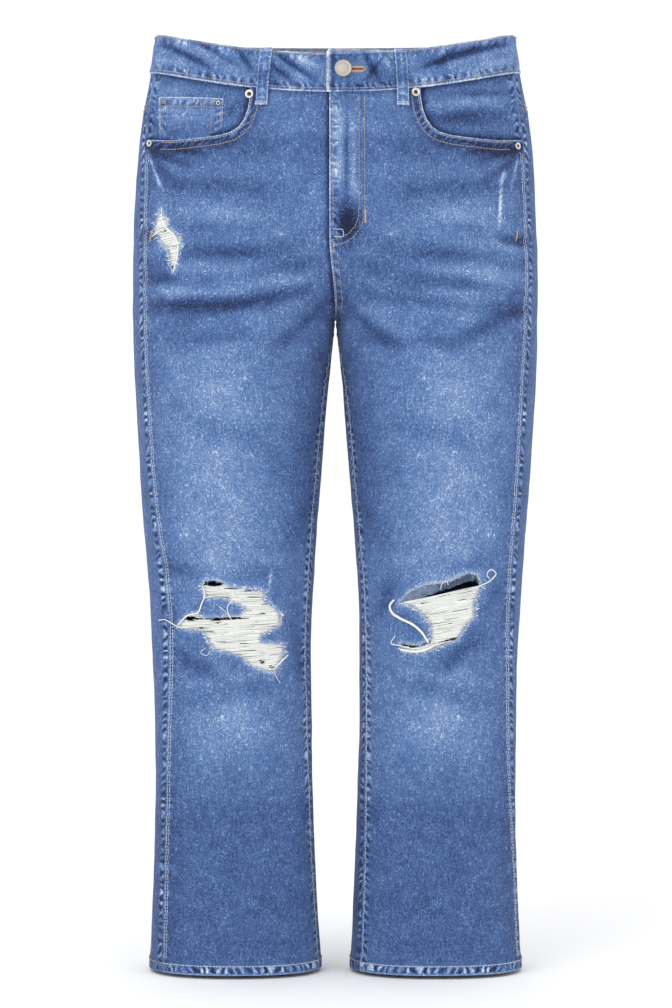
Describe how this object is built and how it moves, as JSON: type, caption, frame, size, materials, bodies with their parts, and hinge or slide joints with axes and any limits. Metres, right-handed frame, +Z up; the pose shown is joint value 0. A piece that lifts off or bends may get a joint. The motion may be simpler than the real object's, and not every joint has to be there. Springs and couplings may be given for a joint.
{
  "type": "ripped jeans",
  "caption": "Hollow, upright high-rise ripped denim jeans with a straight leg that kicks out slightly at the cropped hem, torn at the knees and one hip.",
  "frame": {"origin": "centre of the waist, level with the top of the waistband at the side seams, where the wearer holds the garment up", "axes": "+Z up towards the waist, -Y towards the front, +X towards the wearer's left"},
  "size_m": [0.4212, 0.2036, 0.9687],
  "materials": {
    "denim": "indigo twill denim, stone-washed to a mid blue, faded on the thighs and whiskered at the hips, with off-white stitches",
    "weft": "undyed off-white cotton weft threads",
    "zip_tape": "navy woven tape with a row of brass teeth",
    "zip_metal": "satin brass",
    "button_metal": "matt pale nickel plate",
    "rivet_metal": "pale nickel plate, worn bright on the rim"
  },
  "bodies": {
    "root": {"front_right": "denim", "front_left": "denim", "back_right": "denim", "back_left": "denim", "yoke_right": "denim", "yoke_left": "denim", "pocket_facing_right": "denim", "pocket_facing_left": "denim", "coin_pocket": "denim", "back_pocket_right": "denim", "back_pocket_left": "denim", "band_front_right": "denim", "band_front_left": "denim", "band_back": "denim", "fly_shield": "denim", "loop_front_right": "denim", "loop_front_left": "denim", "loop_back_right": "denim", "loop_back_left": "denim", "loop_back_centre": "denim", "weft_knee_right": "weft", "weft_knee_left": "weft", "weft_hip_right": "weft", "zip": "zip_tape", "zip_slider": "zip_metal", "button": "button_metal", "rivet_front_right": "rivet_metal", "rivet_front_left": "rivet_metal", "rivet_side_right": "rivet_metal", "rivet_side_left": "rivet_metal", "rivet_coin": "rivet_metal"}
  },
  "joints": []
}
